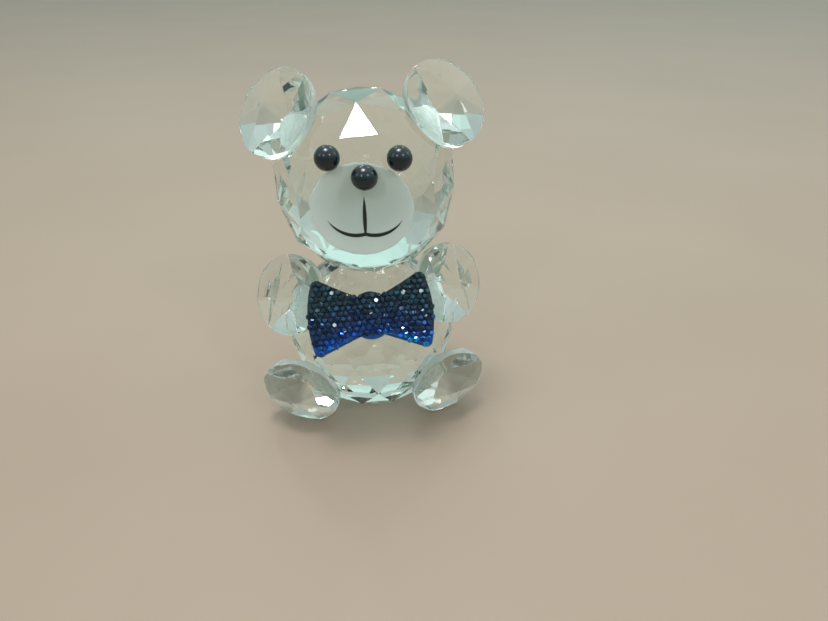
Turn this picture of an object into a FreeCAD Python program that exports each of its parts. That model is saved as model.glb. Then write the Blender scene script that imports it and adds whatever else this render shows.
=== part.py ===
import FreeCAD, Part
import math
import os

import Sketcher

# A seated bear of clear cut crystal, glued up from ground pieces.  Two faceted balls stand one on the
# other as body and head.  Six round faceted stones are the ears, arms and feet.  Three glass beads are
# the eyes and nose, a cast resin bow tie lies on the chest, and the mouth is painted on a frosted
# muzzle.  Every piece meets its neighbour flat to flat, with a thin film of cured adhesive between.
#
# Frame: millimetres, +Z up, the bear looks along -Y.  The origin is on the table, at the middle of the
# flat that the body stands on.  "left" is -X and "right" is +X, as seen by someone facing the bear.
# "around" angles turn from the front (-Y) towards +X, "up" angles rise from the horizontal, in degrees.

Vector = FreeCAD.Vector
doc = FreeCAD.newDocument("CrystalBear")

# --- driving dimensions -------------------------------------------------------------------------

DIMENSIONS = (
    ("ball_diameter", 40, "corner to corner, head and body alike"),
    ("ball_sides", 12, "facet corners in each ring of a ball"),
    ("ring_step", 22.5, "angle from one ring of corners to the next"),
    ("body_facet_turn", 3, "turn of the body's facets about the vertical"),
    ("head_facet_turn", 4, "turn of the head's facets about the front-to-back line"),
    ("film", 0.1, "cured adhesive between two flats"),
    ("neck_seat", 18.3, "head centre to the flat under it"),
    ("neck_film_radius", 6.2, "adhesive in the neck joint"),
    ("muzzle_reach", 17.2, "head centre to the front of the muzzle"),
    ("muzzle_crown", 120, "radius of the muzzle from side to side"),
    ("muzzle_turn", -4, "direction that the muzzle faces, as an around angle"),
    ("limb_seat", 18.9, "ball centre to the flat that an ear, arm or foot is glued on"),
    ("disc_diameter", 18.5, "round stone of an ear, arm or foot"),
    ("disc_edge", 1.5, "thickness of the stone's edge between its facets"),
    ("disc_front", 4.5, "middle of the stone to its front point"),
    ("disc_back", 5.4, "middle of the stone to its back point"),
    ("disc_facets", 8, "facets round each side of a stone"),
    ("ear_left_around", -79.4, "direction from the head centre to the stone"),
    ("ear_left_up", 41.9, ""),
    ("ear_left_reach", 23.5, "head centre to the middle of the stone"),
    ("ear_left_face_around", -39.5, "direction that the stone faces"),
    ("ear_left_face_up", 33.6, ""),
    ("ear_left_seat_around", -68.8, "direction from the head centre to the joint"),
    ("ear_left_seat_up", 41.1, ""),
    ("ear_right_around", 82.2, ""),
    ("ear_right_up", 45.0, ""),
    ("ear_right_reach", 23.8, ""),
    ("ear_right_face_around", 32.4, ""),
    ("ear_right_face_up", 35.8, ""),
    ("ear_right_seat_around", 69.5, ""),
    ("ear_right_seat_up", 44.6, ""),
    ("arm_left_around", -70.8, "direction from the body centre to the stone"),
    ("arm_left_up", 33.4, ""),
    ("arm_left_reach", 23.1, "body centre to the middle of the stone"),
    ("arm_left_face_around", -36.8, ""),
    ("arm_left_face_up", 25.9, ""),
    ("arm_left_seat_around", -61.1, ""),
    ("arm_left_seat_up", 32.3, ""),
    ("arm_right_around", 72.0, ""),
    ("arm_right_up", 36.7, ""),
    ("arm_right_reach", 23.5, ""),
    ("arm_right_face_around", 35.3, ""),
    ("arm_right_face_up", 22.5, ""),
    ("arm_right_seat_around", 62.1, ""),
    ("arm_right_seat_up", 33.9, ""),
    ("foot_left_around", -51.5, "direction from the body centre to the stone"),
    ("foot_left_up", -22.9, "so that the stone's edge just meets the table"),
    ("foot_left_reach", 23.6, ""),
    ("foot_left_face_around", -18.1, ""),
    ("foot_left_face_up", -9.6, ""),
    ("foot_left_seat_around", -43.0, ""),
    ("foot_left_seat_up", -19.6, ""),
    ("foot_right_around", 55.2, ""),
    ("foot_right_up", -23.0, ""),
    ("foot_right_reach", 23.5, ""),
    ("foot_right_face_around", 22.5, ""),
    ("foot_right_face_up", -10.2, ""),
    ("foot_right_seat_around", 47.3, ""),
    ("foot_right_seat_up", -19.8, ""),
    ("bead_diameter", 4.9, "glass eye"),
    ("bead_seat", 19.2, "head centre to the flat that an eye is glued on"),
    ("bead_reach", 21.4, "head centre to the middle of an eye"),
    ("bead_film_radius", 1.1, "adhesive behind a bead"),
    ("bead_seat_radius", 1.8, "recess ground in the head for an eye"),
    ("eye_left_around", -22.4, ""),
    ("eye_left_up", 29.6, ""),
    ("eye_right_around", 20.2, ""),
    ("eye_right_up", 28.8, ""),
    ("nose_width", 5.1, "glass nose, side to side"),
    ("nose_height", 4.8, "glass nose, top to bottom"),
    ("nose_shift", 1.1, "nose off the foremost line of the muzzle"),
    ("nose_rise", 7.4, "head centre up to the nose"),
    ("nose_stand", 2.1, "middle of the nose to its flat back"),
    ("paint", 0.08, "thickness of the painted mouth"),
    ("stroke", 0.74, "widest part of a painted line"),
    ("mouth_shift", 0.7, "mouth off the foremost line of the muzzle"),
    ("mouth_drop", 5.0, "head centre down to where the painted lines meet"),
    ("mouth_reach", 7.4, "middle of the mouth to one corner"),
    ("mouth_rise", 2.85, "corner of the mouth above the meeting point"),
    ("mouth_sag", 0.6, "lowest edge of the smile below the meeting point"),
    ("lip_length", 8.0, "painted line from the nose down to the smile"),
    ("bow_around", -0.3, "direction from the body centre to the bow tie"),
    ("bow_up", 37, ""),
    ("bow_roll", 3.3, "left end of the bow tie hangs lower"),
    ("bow_seat", 18.9, "body centre to the flat that the bow tie is glued on"),
    ("bow_film_radius", 4.2, "adhesive behind the bow tie"),
    ("bow_half_width", 13.5, "middle of the bow tie to the edge of a wing"),
    ("bow_half_height", 8.2, "middle of the bow tie to the corner of a wing"),
    ("bow_knot", 5.1, "half of the knot's height"),
    ("bow_thickness", 4.1, "crown of the knot above the flat back"),
    ("wing_thickness", 4.3, "crown of a wing above the flat back"),
)

sheet = doc.addObject("Spreadsheet::Sheet", "Sizes")
for row, (alias, value, meaning) in enumerate(DIMENSIONS, start=1):
    sheet.set(f"A{row}", alias.replace("_", " "))
    sheet.set(f"B{row}", str(value))
    sheet.set(f"C{row}", meaning)
    sheet.setAlias(f"B{row}", alias)
doc.recompute()


def size(alias):
    """Value of a named cell, for the few shapes that are made in code."""
    return float(sheet.get(alias))


# Heights of the two ball centres, as expressions on the sheet.  The body stands on its lowest cap and
# carries the head on its highest one.
CAP = "Sizes.ball_diameter / 2 * cos(Sizes.ring_step)"
BODY_CENTRE = ("0", "0", CAP)
HEAD_HEIGHT = f"2 * {CAP} + Sizes.film + Sizes.neck_seat"
HEAD_CENTRE = ("0", "0", HEAD_HEIGHT)


def named(kind, name):
    """A document object whose Label is its own name."""
    thing = doc.addObject(kind, name)
    thing.Label = name
    return thing


def bind(thing, **expressions):
    """Tie properties to expressions on the sheet."""
    for prop, expression in expressions.items():
        thing.setExpression(prop, expression)
    return thing


def along(centre, around, up, distance, roll="0"):
    """Placement at a distance from a centre, its local Z pointing outwards along around and up."""
    centre_x, centre_y, centre_z = centre
    place_x = f"{centre_x} + ({distance}) * sin({around}) * cos({up})"
    place_y = f"{centre_y} - ({distance}) * cos({around}) * cos({up})"
    place_z = f"{centre_z} + ({distance}) * sin({up})"
    aim = f"rotation({around} - 90; 90 - ({up}); 0) * rotation({roll}; 0; 0)"
    return f"placement(vector({place_x}; {place_y}; {place_z}); {aim})"


def slug(name, radius, height, placement):
    """A round cutter or film, placed by an expression."""
    return bind(named("Part::Cylinder", name), Radius=radius, Height=height, Placement=placement)


def cut(name, base, tool):
    result = named("Part::Cut", name)
    result.Base = base
    result.Tool = tool
    return result


def common(name, base, tool):
    result = named("Part::Common", name)
    result.Base = base
    result.Tool = tool
    return result


# --- faceted balls --------------------------------------------------------------------------------


def faceted_ball(radius, sides, ring_step, turn):
    """Solid with flat caps and bands of triangles, its rings of corners centred on local Z."""
    rings = []
    for ring in range(1, round(180 / ring_step)):
        polar = math.radians(ring * ring_step)
        stagger = 0 if ring % 2 else 180 / sides
        corners = []
        for corner in range(sides):
            azimuth = math.radians(turn + stagger + corner * 360 / sides)
            flat = radius * math.sin(polar)
            height = radius * math.cos(polar)
            corners.append(Vector(flat * math.cos(azimuth), flat * math.sin(azimuth), height))
        rings.append(corners)
    outlines = [rings[0], rings[-1]]
    for band, (above, below) in enumerate(zip(rings, rings[1:])):
        lead = band % 2
        for corner in range(sides):
            following = (corner + 1) % sides
            under = (corner + lead) % sides
            outlines.append([above[corner], above[following], below[under]])
            over = (corner + 1 - lead) % sides
            outlines.append([below[corner], below[following], above[over]])
    faces = [Part.Face(Part.makePolygon(outline + outline[:1])) for outline in outlines]
    solid = Part.makeSolid(Part.makeShell(faces))
    if solid.Volume < 0:
        solid.reverse()
    return solid


def ball_blank(name, turn_alias, axes, height):
    """Ball before its seats are ground.  axes gives the world directions of its local X, Y and Z."""
    blank = named("Part::Feature", name)
    radius = size("ball_diameter") / 2
    blank.Shape = faceted_ball(radius, round(size("ball_sides")), size("ring_step"), size(turn_alias))
    blank.Placement = FreeCAD.Placement(Vector(0, 0, height), FreeCAD.Rotation(*axes, "ZXY"))
    return blank


def grind(name, ball, seats):
    """Grind one flat after another on a ball.  The last step carries the sub-part's own name."""
    for step, seat in enumerate(seats, start=1):
        last = step == len(seats)
        ball = cut(name if last else f"{name}_ground_{step}", ball, seat)
    return ball


# Radius and length of the cutters that stand for a grinding wheel, wider than any flat they leave.
WHEEL = "Sizes.ball_diameter / 2"


def seat_cutter(owner, centre, aim, seat, radius=WHEEL):
    """Cutter that takes a ball down to the flat on which the owner is glued."""
    place = along(centre, f"Sizes.{aim}_around", f"Sizes.{aim}_up", seat)
    return slug(f"{owner}_seat_cutter", radius, WHEEL, place)


cap_height = size("ball_diameter") / 2 * math.cos(math.radians(size("ring_step")))
head_height = 2 * cap_height + size("film") + size("neck_seat")
body_axes = (Vector(0, -1, 0), Vector(1, 0, 0), Vector(0, 0, 1))
head_axes = (Vector(0, 0, 1), Vector(-1, 0, 0), Vector(0, -1, 0))


def make_body_ball():
    """Body: stands on its bottom cap and is ground for the arms, the feet and the bow tie."""
    blank = ball_blank("body_blank", "body_facet_turn", body_axes, cap_height)
    owners = ("arm_left", "arm_right", "foot_left", "foot_right")
    seats = [seat_cutter(owner, BODY_CENTRE, f"{owner}_seat", "Sizes.limb_seat") for owner in owners]
    seats.append(seat_cutter("bow", BODY_CENTRE, "bow", "Sizes.bow_seat"))
    return grind("body_ball", blank, seats)


def muzzle_surface(name, extra):
    """Upright cylinder whose foremost line is the front of the muzzle."""
    behind = "(Sizes.muzzle_reach - Sizes.muzzle_crown)"
    axis_x = f"{behind} * sin(Sizes.muzzle_turn)"
    axis_y = f"-{behind} * cos(Sizes.muzzle_turn)"
    below = f"{HEAD_HEIGHT} - Sizes.ball_diameter"
    place = f"placement(vector({axis_x}; {axis_y}; {below}); rotation(0; 0; 0))"
    return slug(name, f"Sizes.muzzle_crown + {extra}", "2 * Sizes.ball_diameter", place)


def make_head_ball():
    """Head: ground for the neck, ears and eyes, its front cap ground away to the frosted muzzle."""
    blank = ball_blank("head_blank", "head_facet_turn", head_axes, head_height)
    fronted = common("head_with_muzzle", blank, muzzle_surface("muzzle_grind", "0"))
    neck = along(HEAD_CENTRE, "0", "-90", "Sizes.neck_seat")
    seats = [slug("neck_seat_cutter", WHEEL, WHEEL, neck)]
    for ear in ("ear_left", "ear_right"):
        seats.append(seat_cutter(ear, HEAD_CENTRE, f"{ear}_seat", "Sizes.limb_seat"))
    for eye in ("eye_left", "eye_right"):
        seats.append(seat_cutter(eye, HEAD_CENTRE, eye, "Sizes.bead_seat", "Sizes.bead_seat_radius"))
    return grind("head_ball", fronted, seats)


# --- round stones: ears, arms and feet ---------------------------------------------------------------

# The triangle of glass that a facet takes off is carried out past the stone's edge by this share.
OVERRUN = 1.3


def origin_part(body, role):
    return next(part for part in body.Origin.OriginFeatures if part.Role == role)


def sketch_on(body, name, role):
    sketch = body.newObject("Sketcher::SketchObject", name)
    sketch.AttachmentSupport = (origin_part(body, role), [""])
    sketch.MapMode = "FlatFace"
    return sketch


def dimension(sketch, kind, name, expression, *elements):
    """Add a dimension to a sketch and tie it to an expression."""
    index = sketch.addConstraint(Sketcher.Constraint(kind, *elements, 1.0))
    sketch.renameConstraint(index, name)
    sketch.setExpression(f"Constraints.{name}", expression)


def facet_sketch(body, name, side):
    """Triangle of glass that one facet takes off the blank.  side is +1 in front and -1 behind."""
    sketch = sketch_on(body, name, "XZ_Plane")
    depth = "disc_front" if side > 0 else "disc_back"
    peak = side * size(depth)
    edge = side * size("disc_edge") / 2
    rim = size("disc_diameter") / 2
    outside = OVERRUN * rim
    fall = edge + (edge - peak) * (outside - rim) / rim
    tip = Vector(0, peak, 0)
    bottom = Vector(outside, fall, 0)
    top = Vector(outside, peak, 0)
    sketch.addGeometry([Part.LineSegment(tip, bottom), Part.LineSegment(bottom, top),
                        Part.LineSegment(top, tip)])
    for before, after in ((0, 1), (1, 2), (2, 0)):
        sketch.addConstraint(Sketcher.Constraint("Coincident", before, 2, after, 1))
    sketch.addConstraint(Sketcher.Constraint("PointOnObject", 0, 1, -2))
    sketch.addConstraint(Sketcher.Constraint("Horizontal", 2))
    sketch.addConstraint(Sketcher.Constraint("Vertical", 1))
    ends = (-1, 1, 0, 1) if side > 0 else (0, 1, -1, 1)
    dimension(sketch, "DistanceY", "peak", f"Sizes.{depth}", *ends)
    dimension(sketch, "DistanceX", "outside", f"{OVERRUN} * Sizes.disc_diameter / 2", -1, 1, 0, 2)
    slope = f"{OVERRUN} * (Sizes.{depth} - Sizes.disc_edge / 2)"
    ends = (0, 2, 0, 1) if side > 0 else (0, 1, 0, 2)
    dimension(sketch, "DistanceY", "fall", slope, *ends)
    return sketch


def cut_facets(body, name, side):
    """Cut one facet and repeat it round the stone."""
    facet = body.newObject("PartDesign::Pocket", name)
    facet.Profile = facet_sketch(body, f"{name}_outline", side)
    facet.Type = "ThroughAll"
    facet.SideType = "Symmetric"
    doc.recompute()
    ring = body.newObject("PartDesign::PolarPattern", f"{name}_ring")
    ring.Originals = [facet]
    ring.Axis = (origin_part(body, "Z_Axis"), [""])
    ring.Angle = 360
    ring.setExpression("Occurrences", "Sizes.disc_facets")
    body.Tip = ring
    doc.recompute()
    return ring


def stone_blank(owner):
    """Round stone with a point in front and behind, before it is ground flat where it is glued."""
    body = named("PartDesign::Body", f"{owner}_stone")
    outline = sketch_on(body, f"{owner}_outline", "XY_Plane")
    outline.addGeometry(Part.Circle(Vector(0, 0, 0), Vector(0, 0, 1), size("disc_diameter") / 2))
    outline.addConstraint(Sketcher.Constraint("Coincident", 0, 3, -1, 1))
    dimension(outline, "Diameter", "diameter", "Sizes.disc_diameter", 0)
    round_blank = body.newObject("PartDesign::Pad", f"{owner}_round")
    round_blank.Profile = outline
    round_blank.SideType = "Two sides"
    round_blank.setExpression("Length", "Sizes.disc_front")
    round_blank.setExpression("Length2", "Sizes.disc_back")
    doc.recompute()
    before = round_blank.Shape.Volume
    front = cut_facets(body, f"{owner}_front_facet", 1)
    back = cut_facets(body, f"{owner}_back_facet", -1)
    if not back.Shape.Volume < front.Shape.Volume < before:
        raise RuntimeError(f"{owner}: the facets took nothing off")
    return body


def make_limb(owner, centre):
    """Stone of an ear, arm or foot, ground to its seat, and the film that fills the joint."""
    around = f"Sizes.{owner}_around"
    up = f"Sizes.{owner}_up"
    face_around = f"Sizes.{owner}_face_around"
    face_up = f"Sizes.{owner}_face_up"
    reach = f"Sizes.{owner}_reach"
    blank = stone_blank(owner)
    centre_x, centre_y, centre_z = centre
    place_x = f"{centre_x} + {reach} * sin({around}) * cos({up})"
    place_y = f"{centre_y} - {reach} * cos({around}) * cos({up})"
    place_z = f"{centre_z} + {reach} * sin({up})"
    facing = f"rotation({face_around} - 90; 90 - {face_up}; 0)"
    bind(blank, Placement=f"placement(vector({place_x}; {place_y}; {place_z}); {facing})")
    seat_around = f"Sizes.{owner}_seat_around"
    seat_up = f"Sizes.{owner}_seat_up"
    inner = along(centre, seat_around, seat_up, f"Sizes.limb_seat + Sizes.film - {WHEEL}")
    cutter = slug(f"{owner}_back_cutter", WHEEL, WHEEL, inner)
    cut(owner, blank, cutter)
    layer_place = along(centre, seat_around, seat_up, "Sizes.limb_seat")
    layer = slug(f"{owner}_film_layer", "Sizes.disc_diameter / 2", "Sizes.film", layer_place)
    ball = doc.getObject("head_blank" if centre is HEAD_CENTRE else "body_blank")
    film = named("Part::MultiCommon", f"glue_{owner}")
    film.Shapes = [layer, blank, ball]


# --- beads: eyes and nose ------------------------------------------------------------------------------

# Radius and length of the cutter that flattens the back of a bead.
BEAD_WHEEL = "Sizes.nose_width"


def make_eye(owner):
    """Round glass bead, ground flat behind, and the film that holds it."""
    around = f"Sizes.{owner}_around"
    up = f"Sizes.{owner}_up"
    blank = named("Part::Sphere", f"{owner}_bead")
    bind(blank, Radius="Sizes.bead_diameter / 2")
    bind(blank, Placement=along(HEAD_CENTRE, around, up, "Sizes.bead_reach"))
    inner = along(HEAD_CENTRE, around, up, f"Sizes.bead_seat + Sizes.film - {BEAD_WHEEL}")
    cutter = slug(f"{owner}_back_cutter", BEAD_WHEEL, BEAD_WHEEL, inner)
    cut(owner, blank, cutter)
    film = along(HEAD_CENTRE, around, up, "Sizes.bead_seat")
    slug(f"glue_{owner}", "Sizes.bead_film_radius", "Sizes.film", film)


def make_nose():
    """Bead a little wider than it is high, glued near the top of the muzzle."""
    turn = "Sizes.muzzle_turn"
    centre = (f"Sizes.nose_shift * cos({turn})", f"Sizes.nose_shift * sin({turn})",
              f"{HEAD_HEIGHT} + Sizes.nose_rise")
    blank = named("Part::Ellipsoid", "nose_bead")
    bind(blank, Radius1="Sizes.nose_height / 2", Radius2="Sizes.nose_width / 2")
    bind(blank, Radius3="Sizes.nose_width / 2")
    stand = "(Sizes.muzzle_reach + Sizes.film + Sizes.nose_stand)"
    place_x = f"{centre[0]} + {stand} * sin({turn})"
    place_y = f"{centre[1]} - {stand} * cos({turn})"
    bind(blank, Placement=f"placement(vector({place_x}; {place_y}; {centre[2]}); rotation({turn}; 0; 0))")
    inner = along(centre, turn, "0", f"Sizes.muzzle_reach + Sizes.film - {BEAD_WHEEL}")
    cut("nose", blank, slug("nose_back_cutter", BEAD_WHEEL, BEAD_WHEEL, inner))
    film = along(centre, turn, "0", "Sizes.muzzle_reach")
    slug("glue_nose", "Sizes.bead_film_radius", "Sizes.film", film)


# --- painted mouth ---------------------------------------------------------------------------------------

# How far a painted outline is carried to each side of the muzzle's front, so that it meets the crown.
PAINT_DEPTH = 3
# Deepest part of a painted line, as a share of the way out to its end.
LINE_BELLY = 0.36


def painted_line(name, outline):
    """Upright prism of one painted line, from its closed outline in the muzzle's plane."""
    line = named("Part::Feature", name)
    edges = [Part.Arc(*(Vector(x, 0, z) for x, z in arc)).toShape() for arc in outline]
    line.Shape = Part.Face(Part.Wire(edges)).extrude(Vector(0, -2 * PAINT_DEPTH, 0))
    reach = size("muzzle_reach")
    turn = FreeCAD.Rotation(Vector(0, 0, 1), size("muzzle_turn"))
    meeting = Vector(size("mouth_shift"), PAINT_DEPTH - reach, head_height - size("mouth_drop"))
    line.Placement = FreeCAD.Placement(turn.multVec(meeting), turn)
    return line


def make_mouth():
    """Three tapering lines of black enamel: one down from the nose, and a smile to each side."""
    half = size("stroke") / 2
    reach = size("mouth_reach")
    rise = size("mouth_rise")
    sag = size("mouth_sag")
    length = size("lip_length")
    middle = LINE_BELLY * reach
    lines = []
    for name, side in (("smile_left", -1), ("smile_right", 1)):
        corner = (side * reach, rise)
        lower = (corner, (side * middle, -sag), (0, -half))
        end = ((0, -half), (-side * half / 2, 0), (0, half))
        upper = ((0, half), (side * middle, 2 * half - sag), corner)
        lines.append(painted_line(name, (lower, end, upper)))
    left = ((0, length), (-half, length / 2), (-half / 2, 0))
    foot = ((-half / 2, 0), (0, -half / 2), (half / 2, 0))
    right = ((half / 2, 0), (half, length / 2), (0, length))
    lines.append(painted_line("lip", (left, foot, right)))
    strokes = named("Part::MultiFuse", "mouth_strokes")
    strokes.Shapes = lines
    wet = muzzle_surface("muzzle_paint_outside", "Sizes.paint")
    dry = muzzle_surface("muzzle_paint_inside", "0")
    common("mouth", strokes, cut("muzzle_paint_skin", wet, dry))


# --- bow tie ---------------------------------------------------------------------------------------------


# Outline of one wing from the knot's top edge round to its bottom edge, as shares of the bow tie's half
# width and half height.  Each row is an arc: its start, a point on it, and its end.
WING_ARCS = (
    ((0.19, 0.51), (0.46, 0.72), (0.76, 1.0)),
    ((0.76, 1.0), (0.86, 1.03), (0.93, 0.86)),
    ((0.93, 0.86), (1.0, 0.1), (0.94, -0.83)),
    ((0.94, -0.83), (0.88, -0.96), (0.78, -0.92)),
    ((0.78, -0.92), (0.5, -0.73), (0.19, -0.52)),
)


def bow_outline():
    """Flat outline of the bow tie: a wing of five arcs, its mirror image, and the knot's two ends."""
    wide = size("bow_half_width")
    tall = size("bow_half_height")
    knot = size("bow_knot")
    sketch = named("Sketcher::SketchObject", "bow_outline")
    for side in (-1, 1):
        for arc in WING_ARCS:
            sketch.addGeometry(Part.Arc(*(Vector(side * x * wide, y * tall, 0) for x, y in arc)))
    knot_edge, top_level = WING_ARCS[0][0]
    bottom_level = WING_ARCS[-1][-1][1]
    for level, crest in ((top_level, knot), (bottom_level, -knot)):
        left = Vector(-knot_edge * wide, level * tall, 0)
        right = Vector(knot_edge * wide, level * tall, 0)
        sketch.addGeometry(Part.Arc(left, Vector(0, crest, 0), right))
    return sketch


def pillow(name, across, radius_x, radius_y, radius_z):
    """Flattened ball that crowns a wing or the knot, in the bow tie's own frame."""
    dome = bind(named("Part::Ellipsoid", name), Radius1=radius_z, Radius2=radius_x, Radius3=radius_y)
    bind(dome, Placement=f"placement(vector({across}; 0; 0); rotation(0; 0; 0))")
    return dome


def make_bow():
    """Cast resin bow tie with a flat back and pillowed wings, and the film that holds it."""
    blank = named("Part::Extrusion", "bow_slab")
    blank.Base = bow_outline()
    blank.DirMode = "Custom"
    blank.Dir = Vector(0, 0, 1)
    blank.Solid = True
    blank.setExpression("LengthFwd", "Sizes.bow_thickness + Sizes.wing_thickness")
    crown = named("Part::MultiFuse", "bow_crown")
    wing = ("0.7 * Sizes.bow_half_width", "1.42 * Sizes.bow_half_height", "Sizes.wing_thickness")
    knot = ("0.36 * Sizes.bow_half_width", "1.7 * Sizes.bow_knot", "Sizes.bow_thickness")
    crown.Shapes = [pillow("wing_left_crown", "-0.58 * Sizes.bow_half_width", *wing),
                    pillow("wing_right_crown", "0.58 * Sizes.bow_half_width", *wing),
                    pillow("knot_crown", "0", *knot)]
    bow = common("bow_tie", blank, crown)
    back = along(BODY_CENTRE, "Sizes.bow_around", "Sizes.bow_up", "Sizes.bow_seat + Sizes.film",
                 "90 + Sizes.bow_roll")
    bind(bow, Placement=back)
    film = along(BODY_CENTRE, "Sizes.bow_around", "Sizes.bow_up", "Sizes.bow_seat")
    slug("glue_bow", "Sizes.bow_film_radius", "Sizes.film", film)


# --- assembly --------------------------------------------------------------------------------------------

make_body_ball()
make_head_ball()
slug("glue_neck", "Sizes.neck_film_radius", "Sizes.film", along(HEAD_CENTRE, "0", "-90", "Sizes.neck_seat"))
LIMBS = {"ear_left": HEAD_CENTRE, "ear_right": HEAD_CENTRE, "arm_left": BODY_CENTRE,
         "arm_right": BODY_CENTRE, "foot_left": BODY_CENTRE, "foot_right": BODY_CENTRE}
for limb, ball_centre in LIMBS.items():
    make_limb(limb, ball_centre)
for eye in ("eye_left", "eye_right"):
    make_eye(eye)
make_nose()
make_mouth()
make_bow()
doc.recompute()

NODES = ["body_ball", "head_ball", *LIMBS, "eye_left", "eye_right", "nose", "mouth", "bow_tie", "glue_neck",
         *(f"glue_{limb}" for limb in LIMBS), "glue_eye_left", "glue_eye_right", "glue_nose", "glue_bow"]

for thing in doc.Objects:
    if {"Invalid", "Error"} & set(thing.State):
        raise RuntimeError(f"{thing.Label}: {thing.State}")
for node in NODES:
    shape = doc.getObject(node).Shape
    if shape.isNull() or not shape.isValid() or shape.Volume <= 0:
        raise RuntimeError(f"{node}: not a valid solid")

os.makedirs("parts", exist_ok=True)
for node in NODES:
    doc.getObject(node).Shape.exportStep(f"parts/{node}.step")
    box = doc.getObject(node).Shape.BoundBox
    print(f"{node:16s} volume {doc.getObject(node).Shape.Volume:9.2f}  z {box.ZMin:7.2f} to {box.ZMax:7.2f}")
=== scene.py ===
import math

import bmesh
import bpy
import numpy as np
from mathutils import Matrix, Vector


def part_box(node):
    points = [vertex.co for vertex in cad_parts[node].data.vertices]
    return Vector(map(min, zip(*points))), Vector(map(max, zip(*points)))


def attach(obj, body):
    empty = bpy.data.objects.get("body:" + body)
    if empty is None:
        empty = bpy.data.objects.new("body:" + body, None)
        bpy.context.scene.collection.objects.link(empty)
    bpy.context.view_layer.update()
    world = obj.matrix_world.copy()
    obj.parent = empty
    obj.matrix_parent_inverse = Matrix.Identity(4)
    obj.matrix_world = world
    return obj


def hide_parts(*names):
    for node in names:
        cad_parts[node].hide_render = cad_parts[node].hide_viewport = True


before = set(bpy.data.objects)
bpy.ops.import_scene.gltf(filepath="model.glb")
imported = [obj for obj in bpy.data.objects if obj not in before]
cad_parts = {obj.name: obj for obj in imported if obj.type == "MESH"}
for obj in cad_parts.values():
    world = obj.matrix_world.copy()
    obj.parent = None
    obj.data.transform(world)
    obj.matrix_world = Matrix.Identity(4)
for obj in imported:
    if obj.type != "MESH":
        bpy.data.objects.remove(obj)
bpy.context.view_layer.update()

# --- Cut crystal: body ball, head ball, ears, arms and feet -----------------------------------------
# Eight pieces of clear optical crystal, each cut and polished flat facet by flat facet on a lap.  The
# edges between facets are crisp, with a hair-wide worn land.  Flats are ground where pieces are glued.

MM = 0.001
CRYSTAL_INDEX = 1.52
FILM_THICKNESS = 0.1 * MM
SEAT_INSET = 0.985
WORN_EDGE = 0.06 * MM
MUZZLE_CHAMFER = 0.22 * MM
MUZZLE_CROWN = 2.4 * MM
MUZZLE_FACING = 0.97
EDGE_FACING = 0.1
SQUARE_ON = 0.9999
FACET_ANGLE = math.radians(5)
FLAT_ANGLE = math.radians(0.4)
PLANE_STEP = 0.02 * MM
WELD = 0.002 * MM
STONE_FACETS = 8
LIMBS = ("ear_left", "ear_right", "arm_left", "arm_right", "foot_left", "foot_right")
POLISHED, BONDED, FROSTED, GROUND_EDGE = range(4)


def srgb(code):
    """Linear colour from a hex colour."""
    channels = [int(code[place:place + 2], 16) / 255 for place in (0, 2, 4)]
    linear = [c / 12.92 if c <= 0.04045 else ((c + 0.055) / 1.055) ** 2.4 for c in channels]
    return (*linear, 1.0)


def node(tree, kind, inputs=None, **settings):
    """Add a node, set its settings, and fill its inputs with values or with other nodes' sockets."""
    made = tree.nodes.new(kind)
    for name, value in settings.items():
        setattr(made, name, value)
    for name, value in (inputs or {}).items():
        if isinstance(value, bpy.types.NodeSocket):
            tree.links.new(value, made.inputs[name])
        else:
            made.inputs[name].default_value = value
    return made


def new_material(name):
    """Material with an empty node tree."""
    material = bpy.data.materials.new(name)
    material.use_nodes = True
    material.node_tree.nodes.clear()
    return material, material.node_tree


def crystal_depth(tree, surface):
    """Finish a crystal: its surface, over a depth that takes a little of the red out of the light."""
    depth = node(tree, "ShaderNodeVolumeAbsorption", {"Color": srgb("C4EBDF"), "Density": 3.5})
    node(tree, "ShaderNodeOutputMaterial", {"Surface": surface.outputs["BSDF"],
                                            "Volume": depth.outputs["Volume"]})


def polished_crystal():
    """Optical crystal, lapped and polished: clear, faintly green in the depth, with fine wheel marks."""
    material, tree = new_material("optical_crystal_polished")
    place = node(tree, "ShaderNodeTexCoord").outputs["Object"]
    marks = node(tree, "ShaderNodeTexNoise", {"Vector": place, "Scale": 1400, "Detail": 3})
    polish = node(tree, "ShaderNodeMapRange", {"Value": marks.outputs["Fac"], "From Min": 0.45,
                                               "From Max": 0.75, "To Min": 0.0, "To Max": 0.012})
    ripple = node(tree, "ShaderNodeBump", {"Height": marks.outputs["Fac"], "Strength": 0.02,
                                           "Distance": 0.01 * MM})
    glass = node(tree, "ShaderNodeBsdfPrincipled", {
        "Base Color": srgb("F7FEFB"), "Roughness": polish.outputs["Result"], "IOR": CRYSTAL_INDEX,
        "Transmission Weight": 1.0, "Normal": ripple.outputs["Normal"]})
    crystal_depth(tree, glass)
    return material


def bonded_crystal():
    """Flat ground on a fine wheel and glued: a pale haze, milky against the clear crystal round it."""
    material, tree = new_material("optical_crystal_bonded_flat")
    place = node(tree, "ShaderNodeTexCoord").outputs["Object"]
    grind = node(tree, "ShaderNodeTexNoise", {"Vector": place, "Scale": 900, "Detail": 4})
    haze = node(tree, "ShaderNodeMapRange", {"Value": grind.outputs["Fac"], "To Min": 0.15, "To Max": 0.4})
    flat = node(tree, "ShaderNodeBsdfPrincipled", {
        "Base Color": srgb("F2FFFA"), "Roughness": haze.outputs["Result"], "IOR": CRYSTAL_INDEX,
        "Transmission Weight": 0.3})
    crystal_depth(tree, flat)
    return material


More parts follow.
